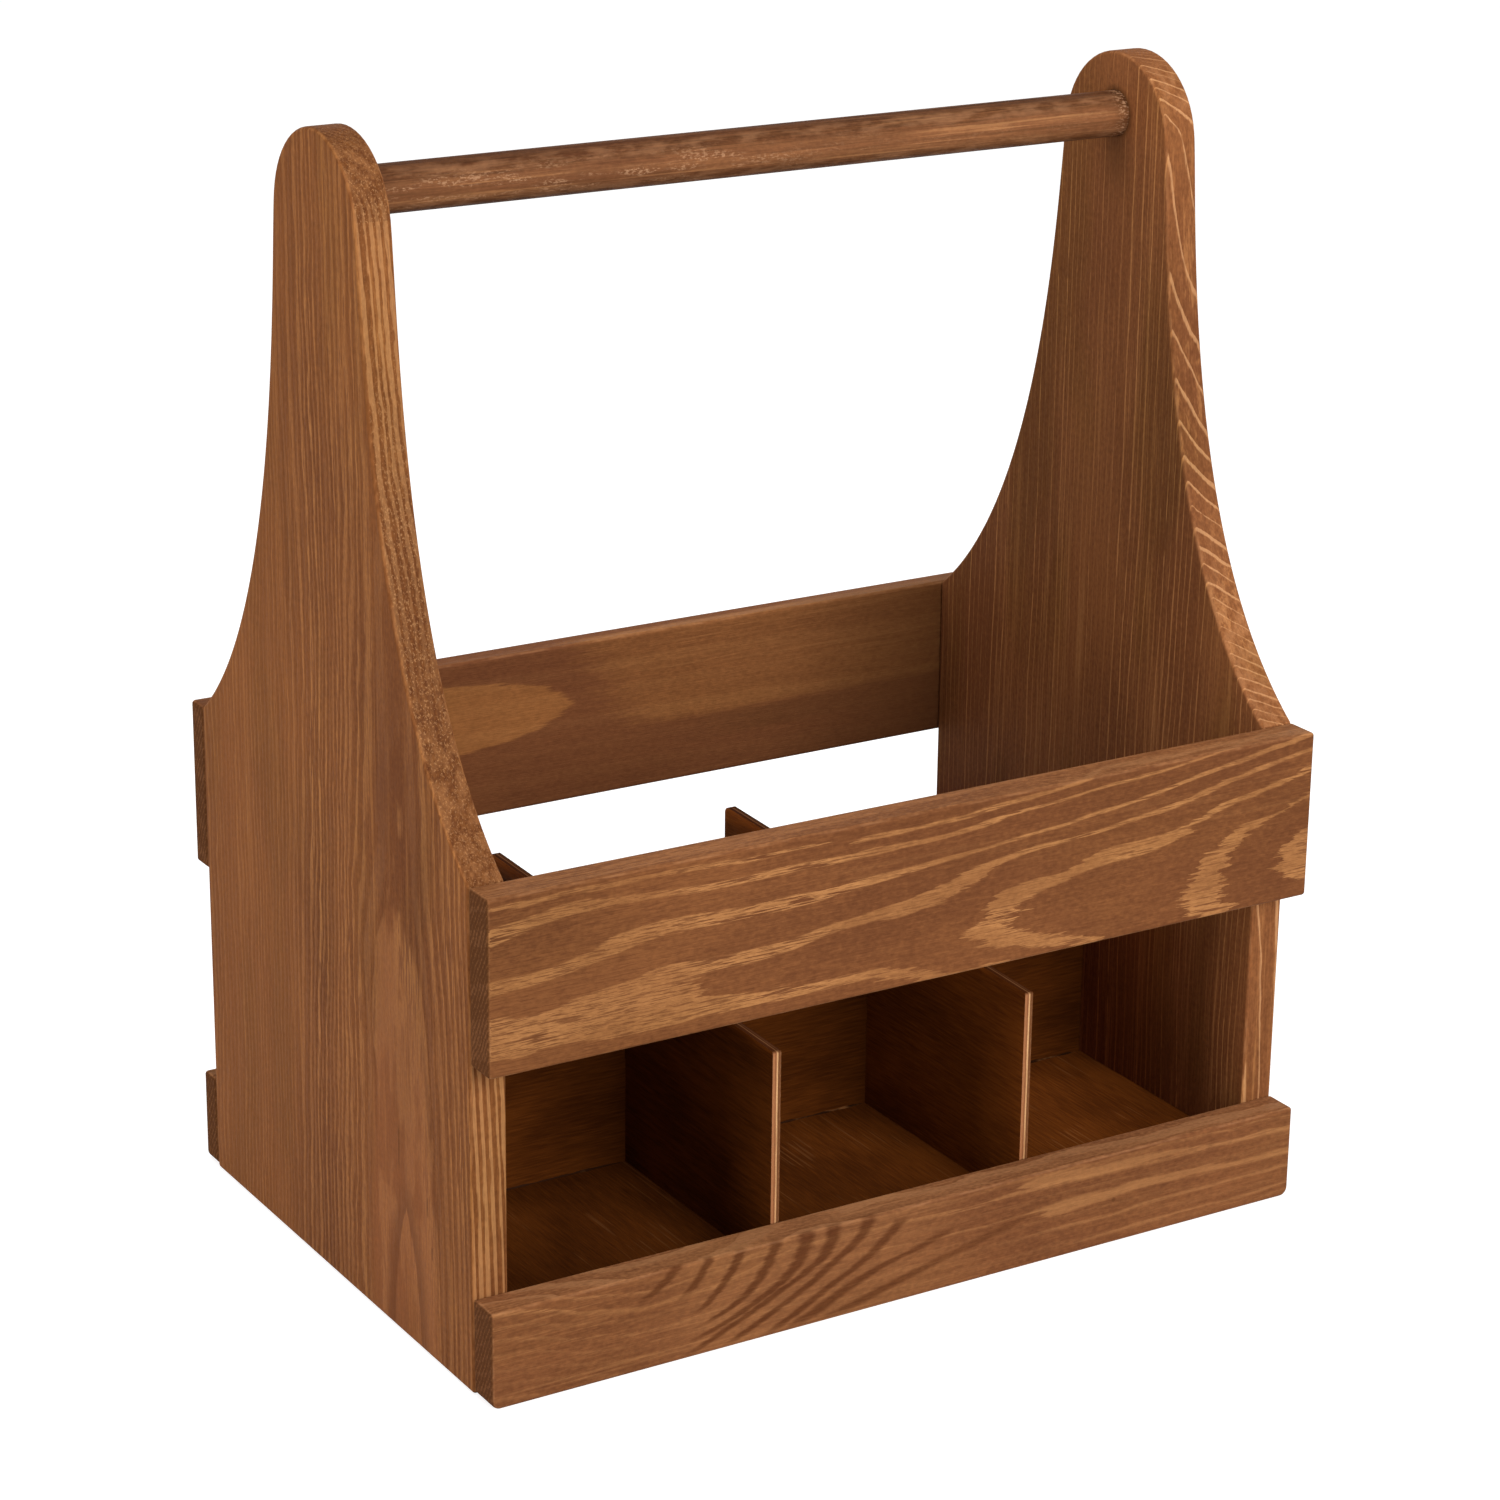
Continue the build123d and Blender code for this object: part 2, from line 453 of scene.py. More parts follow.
    # Cut ends: dark, with arcs of rings
    speck = grain_noise("speck")
    arc = ((order[1] * 1.7 + order[2] * 0.9 + sway + shiver) / END_RING).part().hump(0.5, 0.4)
    cut = blend((arc * 0.5 + speck * 0.4 + pale * 0.2).rise(0.0, 1.4), linear(END_GRAIN), linear(END_LINE))
    colour = blend(end, colour, cut)

    # Arrises worn pale, greenish drifts, and the last unevenness of the stain
    flat = facing[X].most(facing[Y]).most(facing[Z])
    rub = flat.rise(0.80, 0.97, 1.0, 0.0) * (1.0 - end)
    worn = rub * grain_noise("wear").rise(-0.5, 0.6)
    colour = blend(worn * 0.25, colour, linear(WORN))

    drift = grain_noise("drift")
    colour = blend(drift.rise(-0.1, 0.6) * olive, colour, stain(colour, OLIVE))
    colour = tint(colour, 1.0 + blotch * 0.07 + hair * 0.07 + mottle * 0.06 + fibre * 0.05)
    rough = (PINE_ROUGH - pale * 0.08 + hair * 0.05 + end * 0.2).least(1.0)
    height = pale * 0.4 + hair * 0.35 - stroke * 0.5 + streak * 0.3 + mottle * 0.2
    return wood.finish(stain(colour, tone), rough, height, PINE_RELIEF, PINE_GLOSS)


def heart(across, depth):
    """The distance to the tree's heart, from how far aside and how deep it lies."""
    return (across.squared() + depth.squared()).root()


# The late wood of the front upper rail: bands from end to end, then tongues that open to the right.
# Each is an upper and a lower line, and a tongue has a hole between two more lines. A mark is a place
# along X and a height above the rail's bottom edge, in mm.
TOP_BAND = (
    ((-150, 53.8), (-100, 53.8), (-60, 53.2), (-36, 52.6), (-30, 51.0), (-24, 51.6), (0, 52),
     (25, 53.8), (50, 55.5), (70, 58)),
    ((-150, 52.3), (-100, 52.4), (-60, 51.8), (-30, 51.6), (-24, 50.3), (0, 50.6), (25, 52), (50, 54),
     (70, 57)),
)
HIGH_BAND = (
    ((-150, 46.5), (-135, 48.5), (-122, 50), (-113, 49.5), (-108, 48.6), (-90, 48.2), (-75, 47.6),
     (0, 47.6), (20, 48.8), (40, 50.4), (60, 51.8), (100, 54.9), (150, 60)),
    ((-150, 41.5), (-140, 43.5), (-130, 45.5), (-112, 46.5), (-90, 46.3), (-75, 44.8), (-50, 45.1),
     (0, 45.7), (20, 47), (40, 49.3), (60, 50.8), (100, 54.1), (150, 59.5)),
)
MIDDLE_BAND = (
    ((-150, 30), (-137, 30.6), (-125, 32.2), (-112, 35.5), (-100, 38), (-90, 38.6), (-75, 38.1),
     (-50, 37.8), (-25, 38.3), (0, 39.5), (25, 40.8), (50, 42.8), (75, 45.5), (100, 49.5), (125, 53),
     (150, 57.5)),
    ((-150, 26.3), (-137, 26.6), (-125, 28.2), (-112, 30.5), (-100, 32.5), (-90, 33.8), (-75, 33.4),
     (-50, 33.6), (-25, 35.2), (0, 37.6), (25, 39.6), (50, 41.6), (75, 44.2), (100, 48), (125, 51.4),
     (150, 56)),
)
LONG_TONGUE = (
    ((-150, 19), (-143, 18.5), (-135, 17.5), (-126, 18.5), (-120, 20.5), (-100, 22), (-90, 24),
     (-75, 23.6), (-50, 24), (-30, 26), (-10, 28), (5, 31), (20, 34.8), (40, 37), (60, 38), (85, 40.5),
     (105, 44), (125, 48), (150, 52)),
    ((-150, 5.8), (-140, 5), (-128, 6.6), (-118, 5.2), (-105, 4.4), (-75, 5), (-50, 4.7), (-25, 5),
     (-10, 3), (10, -1.5), (150, -20)),
)
LONG_HOLE = (
    ((-85, 14), (-78, 18.5), (-72, 19.3), (-60, 19.2), (-50, 19.8), (-35, 22.2), (-20, 23.5), (0, 24),
     (10, 26), (20, 30.5), (27, 33.5), (40, 35.2), (60, 36.8), (85, 39), (105, 42.2), (125, 46.3),
     (150, 50.5)),
    ((-85, 18), (-80, 16), (-76, 11.5), (-70, 10), (-50, 8.7), (-35, 7.6), (-20, 8), (-10, 6.5),
     (0, 4), (10, 1.5), (16, 0.8), (28, 1.8), (34, 0), (60, -6), (150, -16)),
)
MIDDLE_TONGUE = (
    ((10, 10), (14.5, 12.5), (20, 14.8), (25, 19.5), (28, 23.5), (35, 25.6), (55, 27.2), (62, 29.5),
     (70, 31.5), (85, 32), (95, 33), (105, 35.2), (115, 38.2), (125, 40.2), (140, 43), (150, 46)),
    ((10, 14.5), (14.5, 12.5), (20, 9), (25, 6.5), (35, 5), (45, 3), (55, 0.5), (65, -3), (150, -20)),
)
MIDDLE_HOLE = (
    ((30, 8), (34, 13), (36, 16.5), (39, 19.5), (45, 21.4), (55, 24), (65, 25.6), (80, 26.6), (90, 28),
     (98, 29.6), (103, 32.6), (110, 34.8), (125, 38), (140, 41.5), (150, 44.5)),
    ((30, 16), (34, 13), (36, 10.8), (40, 9), (50, 6.5), (58, 4.5), (65, 2), (80, -3), (150, -18)),
)
SHORT_TONGUE = (
    ((95, 3), (98.5, 8), (101, 12.5), (105, 16.5), (107, 20.5), (112, 23.5), (118, 27.5), (125, 30),
     (135, 31.2), (150, 36.8)),
    ((95, 14), (98.5, 7.5), (101, 4), (106, 1.5), (112, -0.5), (150, -10)),
)
SHORT_HOLE = (
    ((110, 6), (114, 12), (117, 18.5), (122, 23.5), (128, 27.5), (135, 30.2), (150, 35.3)),
    ((110, 16), (114, 11), (116, 7), (119, 3), (123, 0), (150, -10)),
)
LAST_TONGUE = (
    ((134, 8), (137, 13.5), (140, 19), (144, 21.8), (150, 24)),
    ((134, 16), (137, 11), (141, 8.5), (150, 5)),
)
UPPER_RAIL_LATE_WOOD = (
    (TOP_BAND, None),
    (HIGH_BAND, None),
    (MIDDLE_BAND, None),
    (LONG_TONGUE, LONG_HOLE),
    (MIDDLE_TONGUE, MIDDLE_HOLE),
    (SHORT_TONGUE, SHORT_HOLE),
    (LAST_TONGUE, None),
)
# How pale the rail is along X
UPPER_RAIL_TONE = ((-130, 0.91), (-20, 1.07), (120, 1.11))


def front_upper_late_wood(x, y, z, fray):
    """The drawn bands and tongues. Their lines fray along the grain and climb through the thickness."""
    low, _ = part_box("front_upper_rail")
    along = x + fray * 6
    height = z - low.z / MM + fray * 0.55 + (y - low.y / MM) * 0.3
    deepest = None
    for outline, hole in UPPER_RAIL_LATE_WOOD:
        depth = within(height, *(follow(along, line) for line in outline))
        if hole is not None:
            depth = depth.least(within(height, *(follow(along, line) for line in hole)) * -1)
        deepest = depth if deepest is None else deepest.most(depth)
    return deepest.rise(-0.25, 0.35)


def upper_rail_dashes_and_tone(colour, here, fray):
    """Fine dark dashes in the front upper rail, most of them near its left end. The rail is also a
    little darker at its left end than at its right one."""
    dash = noise(here, (10, 0.45, 0.45), 51, 3.0, 0.65).rise(0.12, 0.32)
    colour = blend(dash * here[X].rise(-110, 40, 0.75, 0.3), colour, linear(EARLY_DARK))
    return tint(colour, follow(here[X], UPPER_RAIL_TONE))


BRANCH_PLACE = -92  # of the grown-over branch in the front lower rail, along X, in mm
BRANCH_REACH = 62


def front_lower_rings(x, y, z):
    """Even rings of 4.5 mm along the board, a little aslant, that dip by 8 mm under the branch."""
    dip = x.hump(BRANCH_PLACE, BRANCH_REACH)
    return (z + x * 0.02 + y * 0.4 + dip * 8) / 4.5


# The dark curls beside the branch, from the left one to the right one. A mark is a height above the
# bottom edge and a place along X, in mm.
CURLS = (
    ((22, -101), (25, -96), (28, -91), (34, -84)),
    ((20, -86), (24, -81), (28, -77.5), (34, -74)),
    ((13.5, -81.5), (17, -76), (21, -71.5), (26, -67), (34, -63)),
    ((8.5, -83), (10.5, -76), (14, -66.5), (18, -60.5), (23, -55.5), (28, -52.5), (34, -50.5)),
    ((4, -92), (5, -84), (8, -72), (12, -61), (16, -52.5), (21, -45), (26, -41.5), (34, -39.5)),
    ((0, -85), (6, -70), (10, -60), (15, -49), (19, -40), (24, -33), (34, -29.5)),
    ((0, -71), (3, -64), (11, -46), (16, -36), (21, -28), (26, -20.5), (34, -16.5)),
    ((0, -56), (7, -41), (12, -31), (17, -20), (22, -12.5), (26, -7.5), (30, -4.5)),
    ((0, -48), (3, -40), (9, -26), (14, -12), (17, 2), (22, 16)),
    ((0, -36), (5, -15), (9, 2), (12, 16), (15, 30), (19, 45)),
)
# The pale bands to the right of the curls, as places along X and heights above the bottom, in mm
FIRST_BAND = (
    ((38, 28), (50, 30.5), (70, 29.5), (95, 28.5), (110, 27), (125, 26), (150, 25.5)),
    ((38, 28.5), (45, 27), (55, 26), (80, 25.5), (100, 26), (125, 25), (150, 24.3)),
)
SECOND_BAND = (
    ((40, 18), (50, 19.5), (65, 20.3), (75, 19.6), (85, 20.5), (100, 20), (125, 18.2), (150, 17.8)),
    ((40, 18.5), (48, 17.5), (55, 15.5), (70, 16), (80, 16.5), (100, 17), (125, 16), (150, 15.6)),
)
THIRD_BAND = (
    ((40, 10), (60, 11.2), (75, 10.6), (90, 11.8), (150, 11.8)),
    ((40, 10.4), (60, 10.2), (75, 9.8), (90, 10.6), (150, 10.8)),
)
FOURTH_BAND = (
    ((50, 3), (80, 4.5), (100, 5), (125, 4.7), (150, 5.6)),
    ((50, 3.4), (80, 3.6), (100, 4), (125, 3.8), (150, 4.8)),
)
LOWER_RAIL_BANDS = (FIRST_BAND, SECOND_BAND, THIRD_BAND, FOURTH_BAND)
SMALL_PORE = (77.5, 15.5)


def lower_fan(colour, here, fray):
    """The curls, which sweep from the top of the rail down to the left and fade through its thickness,
    the pale bands, and a small dark pore. A curl's gap is the distance to its line: the gap along X
    over the length of one step up its lean."""
    x, y, z = here
    low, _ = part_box("front_lower_rail")
    fan = None
    for marks in CURLS:
        (foot, foot_place), (head, head_place) = marks[0], marks[-1]
        lean = (head_place - foot_place) / (head - foot)
        gap = (x + fray * 0.8 - follow(z, marks)).size() / hypot(1, lean)
        curl = gap.rise(0.5, 2.0, 1.0, 0.0) * z.rise(foot, foot + 4) * z.rise(head - 3, head, 1.0, 0.0)
        fan = curl if fan is None else fan.most(curl)
    fan = fan * (y - low.y / MM).rise(0.6, 2.5, 1.0, 0.0)
    around = x.rise(-100, -70) * x.rise(-10, 30, 1.0, 0.0)
    colour = blend(around * (1.0 - fan) * 0.15, colour, linear(LATE))
    colour = blend(fan * x.rise(-40, 40, 0.75, 0.45), colour, linear(CURL))
    deepest = None
    for band in LOWER_RAIL_BANDS:
        lines = (follow(x + fray * 4, line) for line in band)
        depth = within(z + fray * 0.5, *lines)
        deepest = depth if deepest is None else deepest.most(depth)
    colour = blend(deepest.rise(-0.6, 0.8) * 0.5, colour, linear(LATE))
    pore = ((x - SMALL_PORE[0]).squared() + (z - SMALL_PORE[1]).squared()).root()
    return blend(pore.rise(0.4, 1.1, 0.8, 0.0), colour, linear(STREAK))


def level_rings(x, y, z):
    """Rings of 8.5 mm that lie nearly level along a rail, and tilt through its thickness."""
    return (z * 0.9 - y * 0.5 + x * 0.02) / 8.5


# The left tongue of the back upper rail: its middle along X and up Z, and its half axes, in mm
LEFT_TONGUE = ((-76, 143), (63, 13))


def back_tongues(colour, here, fray):
    """Two broad honey tongues on the inner face of the back upper rail, which is red otherwise: an
    ellipse that comes in from the left, and a field that opens to the right above a line across the
    board, with a smoky band under it."""
    x, y, z = here
    (middle_x, middle_z), (half_x, half_z) = LEFT_TONGUE
    from_middle = ((x - middle_x) / half_x).squared() + ((z - middle_z) / half_z).squared()
    tip = from_middle.root() + fray * 0.05
    left = tip.rise(0.95, 1.01, 1.0, 0.0)
    start = x + (z - 130) * 0.7 + fray * 9
    right = start.rise(0, 25) * (z + fray * 1.5 - x * 0.01).rise(128, 131)
    smoke = x.rise(20, 70) * (z - 125 + fray * 1.2).size().rise(3, 6, 1.0, 0.0)
    smoke = smoke.most(x.rise(30, 120))
    on_face = (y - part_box("back_upper_rail")[0].y / MM).rise(2, 6, 1.0, 0.0)
    left, right, smoke = left * on_face, right * on_face, smoke * on_face
    colour = blend((left + right).rise(0.0, 1.0, 0.6, 0.0), colour, linear(RED_WOOD))
    colour = blend(left * 0.35 + right * 0.15, colour, linear(HONEY))
    return blend(smoke * 0.5, colour, linear(SMOKE))


def back_lower_rings(x, y, z):
    """Rings of 4.2 mm that climb a little along the rail, and tilt through its thickness."""
    return (z * 0.9 - y * 0.7 + x * 0.015) / 4.2


LEFT_FACE = -150  # the left panel's outer face, along X, in mm
# Distances from the heart at which the rings of the left panel end: none inside the tall flame, then
# close ones, in mm
PANEL_RINGS = (-8, 24, 27, 31.5, 34.5, 38.5, 41.5, 44.2)
HEART_PLACE = -46.5  # along Y
FLAME_TOP = 142
# Half the short flame's width at heights above the foot, and the tall one's two sides along Y
SHORT_FLAME = ((0, 9.2), (10, 8.4), (20, 7), (30, 5), (37, 3), (43, 0), (55, -4))
SHORT_FLAME_PLACE = -48
TALL_FLAME_BACK = ((0, -21), (60, -25.5), (100, -28.5), (130, -32), (138, -36), (142, -45), (150, -50))
TALL_FLAME_FRONT = ((0, -70), (60, -66), (84, -63), (112, -59), (135, -53), (142, -45), (150, -40))
# Each crack's place along Y, and the heights of its foot and its head
CRACKS = ((-43.5, 54, 71), (-62.5, 46, 54), (-65, 33, 38))


def left_panel_rings(x, y, z):
    """The heart lies outside the face and nears it towards the foot, so that the rings part round a
    tall flame. Across the thickness they stand close, and show as stripes on the front edge."""
    across = y - HEART_PLACE
    depth = z.least(FLAME_TOP + 8) * 0.145 + 2
    return steps(heart(across, depth), PANEL_RINGS) + (x - LEFT_FACE) * 0.42


def flames(colour, here, fray):
    """A tall plain flame up from the foot of the left panel, a short one inside it with a dark rim,
    three short dark cracks beside them, and calmer grain over the back half. All of it lies on the
    outer face."""
    x, y, z = here
    up = z + fray * 3
    on_face = (x - LEFT_FACE).rise(2, 5, 1.0, 0.0)
    faint = z.rise(85, 140, 1.0, 0.3) * on_face
    tall = within(y, follow(up, TALL_FLAME_BACK), follow(up, TALL_FLAME_FRONT))
    short = follow(up, SHORT_FLAME) - (y - SHORT_FLAME_PLACE).size()
    colour = blend(tall.rise(-3.0, 6.0) * faint * 0.5, colour, linear(FLAME))
    calm = y.rise(5, 40) * on_face
    colour = blend(calm * 0.45, colour, linear(CALM))
    rim = short.rise(-10, -0.5) * short.rise(-0.5, 0.5, 1.0, 0.0) * z.rise(45, 66, 1.0, 0.0)
    edge = tall.hump(-0.4, 1.6) * z.rise(20, 40)
    colour = blend((rim * 0.7).most(edge * 0.4) * faint, colour, linear(EARLY_DARK))
    for place, foot, head in CRACKS:
        middle, half = (foot + head) / 2, (head - foot) / 2
        length = (z - middle).size().rise(half * 0.6, half, 1.0, 0.0)
        crack = (y - place + fray * 0.5).hump(0, 0.8) * length
        colour = blend(crack * on_face * 0.7, colour, linear(STREAK))
    return colour


def right_panel_rings(x, y, z):
    """Plane rings, 7.2 mm apart through the thickness and 2.75 mm apart across the board, so that they
    show as slanting lines on the curved edge."""
    return x / 7.2 + y / 2.75 + z * 0.003


# How much paler the right panel's inner face is than its edges, at heights above the foot, in mm
INNER_FACE_TONE = ((0, 0.12), (170, 0.12), (240, 0.02), (300, 0.1), (367, 0.14))


def painted_shade_on_right_panel(colour, here, fray):
    """Painted shade on the right panel: a dark ring round the handle's bore, partly a dark joint and
    partly painted contact shade, and a painted shadow that runs down a little below the handle. The
    panel's inner face is a little paler, and is much darker and redder low down, painted shade where
    the cells are."""
    x, y, z = here
    low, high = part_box("handle")
    aside = y - (low.y + high.y) / 2 / MM
    below = (low.z + high.z) / 2 / MM - z
    radius = (high.z - low.z) / 2 / MM
    reach = (aside.squared() + below.squared()).root() - radius
    # Painted shadow running down below the handle, and a dark ring round the bore, partly the joint and
    # partly painted contact shade
    run = aside.hump(-1, 11) * below.rise(2, 8) * below.rise(9, 36, 1.0, 0.0)
    mark = reach.rise(0.2, 2.4, 1.0, 0.0).most(run * 0.75)
    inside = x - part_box("right_end_panel")[0].x / MM
    colour = blend(mark * inside.rise(1, 3, 1.0, 0.0) * 0.75, colour, linear(SMOKE))
    on_face = inside.rise(0.3, 1.2, 1.0, 0.0)
    colour = tint(colour, on_face * follow(z, INNER_FACE_TONE) + 1.0)
    # Painted shade low inside the cells, stronger towards the back
    painted_cell_shade = z.rise(70, 108, 1.0, 0.0) * on_face * y.rise(-88, -25, 0.1, 1.0)
    return blend(painted_cell_shade, colour, stain(colour, CELL_PAINTED_SHADE))


def handle_rings(x, y, z):
    """Rings of 3.1 mm that cross the handle aslant and climb a little along it."""
    return (y * 0.8 + z * 0.6 + x * 0.012) / 3.1


def handle_painted_light(colour, here, fray):
    """A paler band along the front of the handle, painted highlight, with painted shade on its top and
    bottom and threads of grain; clumps of pale specks in the band, painted glints, most of them near
    its left end; and a ring of specks where it enters the right panel."""
    x, y, z = here
    low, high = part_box("handle")
    middle = (low.z + high.z) / 2 / MM
    # Painted highlight along the middle of the handle's front, and painted shade towards its top and
    # bottom
    band = (z - middle + 0.5 + fray * 0.8).hump(0, 7)
    glint_spread = x.rise(-60, 60, 1.0, 0.15)
    dots = noise(here, (1.6, 0.6, 0.6), 41, 2.0, 0.7).rise(-0.1, 0.5)
    clump = noise(here, (16, 3, 3), 43, 2.0).rise(-0.2, 0.5)
    thread = noise(here, (38, 0.55, 0.55), 45, 3.0, 0.7)
    colour = blend(band * 0.2, tint(colour, band * 0.5 + thread * 0.28 + 0.58), linear(SAWN))
    # Painted glints: clumps of pale specks in the highlight band, most of them to the left
    colour = blend(band * dots * clump * glint_spread * 0.65, colour, linear(RING_LINE))
    return blend(dots.squared() * x.rise(132, 137) * 0.8, colour, linear(RING_LINE))


# Plywood

# Painted light and shade on the floor: darker to the left, paler to the right
FLOOR_PAINTED_LIGHT = ((-100, 0.66), (0, 0.86), (100, 1.42))  # how pale the floor is along X
# Painted light: where a divider turns paler along its lit top
DIVIDER_PAINTED_LIGHT_TOP = (87, 94)  # heights between which a divider turns paler, in mm
# Places of the plies between one face, -1, and the other, 1, each with half its width
CORE_PLY = (0.14, 0.30)
SEAMS = ((-0.30, 0.18), (0.50, 0.18))
TOP_SEAMS = ((-0.1, 0.25), (0.5, 0.25))


def plywood(name, thickness, grain, tone=1.0, top=2.6, scratches=False):
    """Three stained plies, darker or paler by the tone. The thickness axis tells a face from an edge,
    and the layers show on the edges: a pale core between two seams in veneer, which stain covers on a
    top edge all but for two lines. Scratches mark the floor, which gets painted light and shade:
    darker towards its left end and paler towards its right. Upright pieces get painted light along
    the top, paler by a factor."""
    wood = Finish(name)
    here = wood.place()
    facing = wood.facing()
    low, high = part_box(name)
    middle = (low[thickness] + high[thickness]) / 2 / MM
    half = (high[thickness] - low[thickness]) / 2 / MM
    across = [axis for axis in (X, Y, Z) if axis not in (grain, thickness)][0]
    order = (here[grain], here[across], here[thickness])

    fibre = noise(order, (12, 0.8, 4), 2.0, 3.0, 0.6)
    cloud = noise(order, (50, 26, 9), 4.0, 2.0)
    hair = noise(order, (6, 0.35, 4), 6.0, 1.0)
    face = blend((fibre * 0.6 + cloud * 0.6).rise(-0.9, 0.9), linear(PLY_FACE_DARK_WITH_PAINTED_SHADE), linear(PLY_FACE_WITH_PAINTED_SHADE))
    if scratches:
        worked = noise(order, (30, 20, 9), 14.0).rise(0.0, 0.4)
        score = noise(order, (70, 1.1, 4), 12.0, 0.0).rise(0.55, 0.62) * worked
        face = blend(score * 0.2, face, linear(LATE_TAN))
        # Painted light and shade along the floor
        tone = follow(here[X], FLOOR_PAINTED_LIGHT) * tone
    else:
        # Painted light along the tops of the upright pieces
        tone = here[Z].rise(*DIVIDER_PAINTED_LIGHT_TOP, 1.0, top) * tone

    jitter = noise(order, (14, 14, 0.6), 8.0, 2.0)
    layer = (here[thickness] - middle) / half + jitter * 0.08
    grit = noise(order, (1.6, 1.6, 0.35), 10.0, 2.0)
    core = layer.hump(*CORE_PLY) * (jitter * 0.4 + 0.75)
    seam = layer.hump(*SEAMS[0]).most(layer.hump(*SEAMS[1]))
    veneer = blend((layer + grit * 0.3).rise(-0.4, 0.6), linear(PLY_VENEER), linear(PLY_VENEER_DARK))
    edge = blend((core + grit * 0.2).least(1.0), veneer, linear(PLY_CORE))
    edge = blend(seam * 0.6 + grit.rise(0.4, 0.9) * 0.4, edge, linear(PLY_SEAM))
    on_top = layer.hump(*TOP_SEAMS[0]).most(layer.hump(*TOP_SEAMS[1]))
    edge = blend(facing[Z] * (1.0 - on_top * 0.45), edge, linear(PLY_FACE_DARK_WITH_PAINTED_SHADE))
    on_edge = facing[thickness].rise(0.5, 0.9, 1.0, 0.0)
    colour = blend(on_edge, tint(face, tone + hair * 0.10), edge)
    rough = PLY_ROUGH + hair * 0.08
    return wood.finish(colour, rough, fibre * 0.6 + hair * 0.4, PLY_RELIEF, PLY_GLOSS)


def raw_pin_wood():
    """Unstained hardwood of the hidden pins, with fine grain along them."""
    wood = Finish("pin_wood")
    x, y, z = wood.place()
    fibre = noise((y, x, z), (9, 0.3, 0.3), 1.0, 2.0)
    colour = blend(fibre.rise(-0.9, 0.9), linear(RAW_PIN_DARK), linear(RAW_PIN))
    return wood.finish(colour, PIN_ROUGH + fibre * 0.05, fibre, PIN_RELIEF, PINE_GLOSS)


def dress(node, material):
    """Give every slot of a CAD node the same finish."""
    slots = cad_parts[node].data.materials
    if not slots:
        slots.append(material)
    for place in range(len(slots)):
        slots[place] = material


boards = {
    "left_end_panel": pine(
        "left_panel_pine", Z, X, left_panel_rings, 1.0, 0.5, contrast=0.5, crisp=0.6, ragged=0.2, wave=0.5,
        streaks=0.5, sides=(0.1, 0.6, 1.0), olive=0.3, tone=(1.02, 0.94, 0.80), overlay=flames),
    "right_end_panel": pine(
        "right_panel_pine", Z, X, right_panel_rings, 2.0, 0.15, vary=1.2, contrast=0.9, crisp=0.8,
        ragged=0.05, wave=0.25, streaks=0.4, sides=(0.05, 0.65, 0.0), olive=0.6, tone=(1.22, 1.19, 1.16),
        overlay=painted_shade_on_right_panel),
    "front_upper_rail": pine(
        "front_upper_pine", X, Y, level_rings, 3.0, 0.36, vary=0.0, contrast=0.9, wave=1.2, streaks=0.12,
        drawn=front_upper_late_wood, overlay=upper_rail_dashes_and_tone),
    "front_lower_rail": pine(
        "front_lower_pine", X, Y, front_lower_rings, 4.0, 0.35, contrast=0.4, crisp=0.4, streaks=0.3,
        tone=(1.04, 1.04, 1.10), overlay=lower_fan),
    "back_upper_rail": pine(
        "back_upper_pine", X, Y, level_rings, 5.0, 0.45, contrast=0.15, crisp=0.3, overlay=back_tongues),
    "back_lower_rail": pine(
        "back_lower_pine", X, Y, back_lower_rings, 6.0, 0.35, contrast=0.3, crisp=0.4),
    "handle": pine(
        "handle_pine", X, Y, handle_rings, 7.0, 0.45, contrast=0.15, crisp=0.2, wave=0.4, streaks=0.9,
        sides=(0.0, 0.1, 0.0), olive=0.0, tone=(0.90, 0.90, 0.98), overlay=handle_painted_light),
    "floor_board": plywood("floor_board", Z, Y, scratches=True),
    "long_divider": plywood("long_divider", Y, X, 0.95),
    "left_cross_divider": plywood("left_cross_divider", X, Y, 0.9, 4.0),
    "right_cross_divider": plywood("right_cross_divider", X, Y, 1.65),
}
for node, wood in boards.items():
    dress(node, wood)
pin_wood = raw_pin_wood()
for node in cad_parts:
    if node.endswith("_pins"):
        dress(node, pin_wood)


# Glue that squeezed out along the dividers' feet

GLUE_SIZE = 0.6 * MM
GLUE_END = 1.0 * MM  # from the end of a bead to the end of its cell
GLUE_STEP = 0.9 * MM  # from one cross-section to the next
GLUE_TAPER = 4 * MM
GLUE_WAVES = (7.3, 12.7, 31.0)  # lengths of the ripples along a bead, in mm
GLUE_THINNEST = 0.15  # at the tips, as a share of the size
ARC_POINTS = 6


def ripple(along, seed):
    """The mean of a few sines of the given lengths, each from a random start."""
    draw = np.random.default_rng(seed)
    total = sum(np.sin(2 * np.pi * (along / wave + draw.random())) for wave in GLUE_WAVES)
    return total / len(GLUE_WAVES)


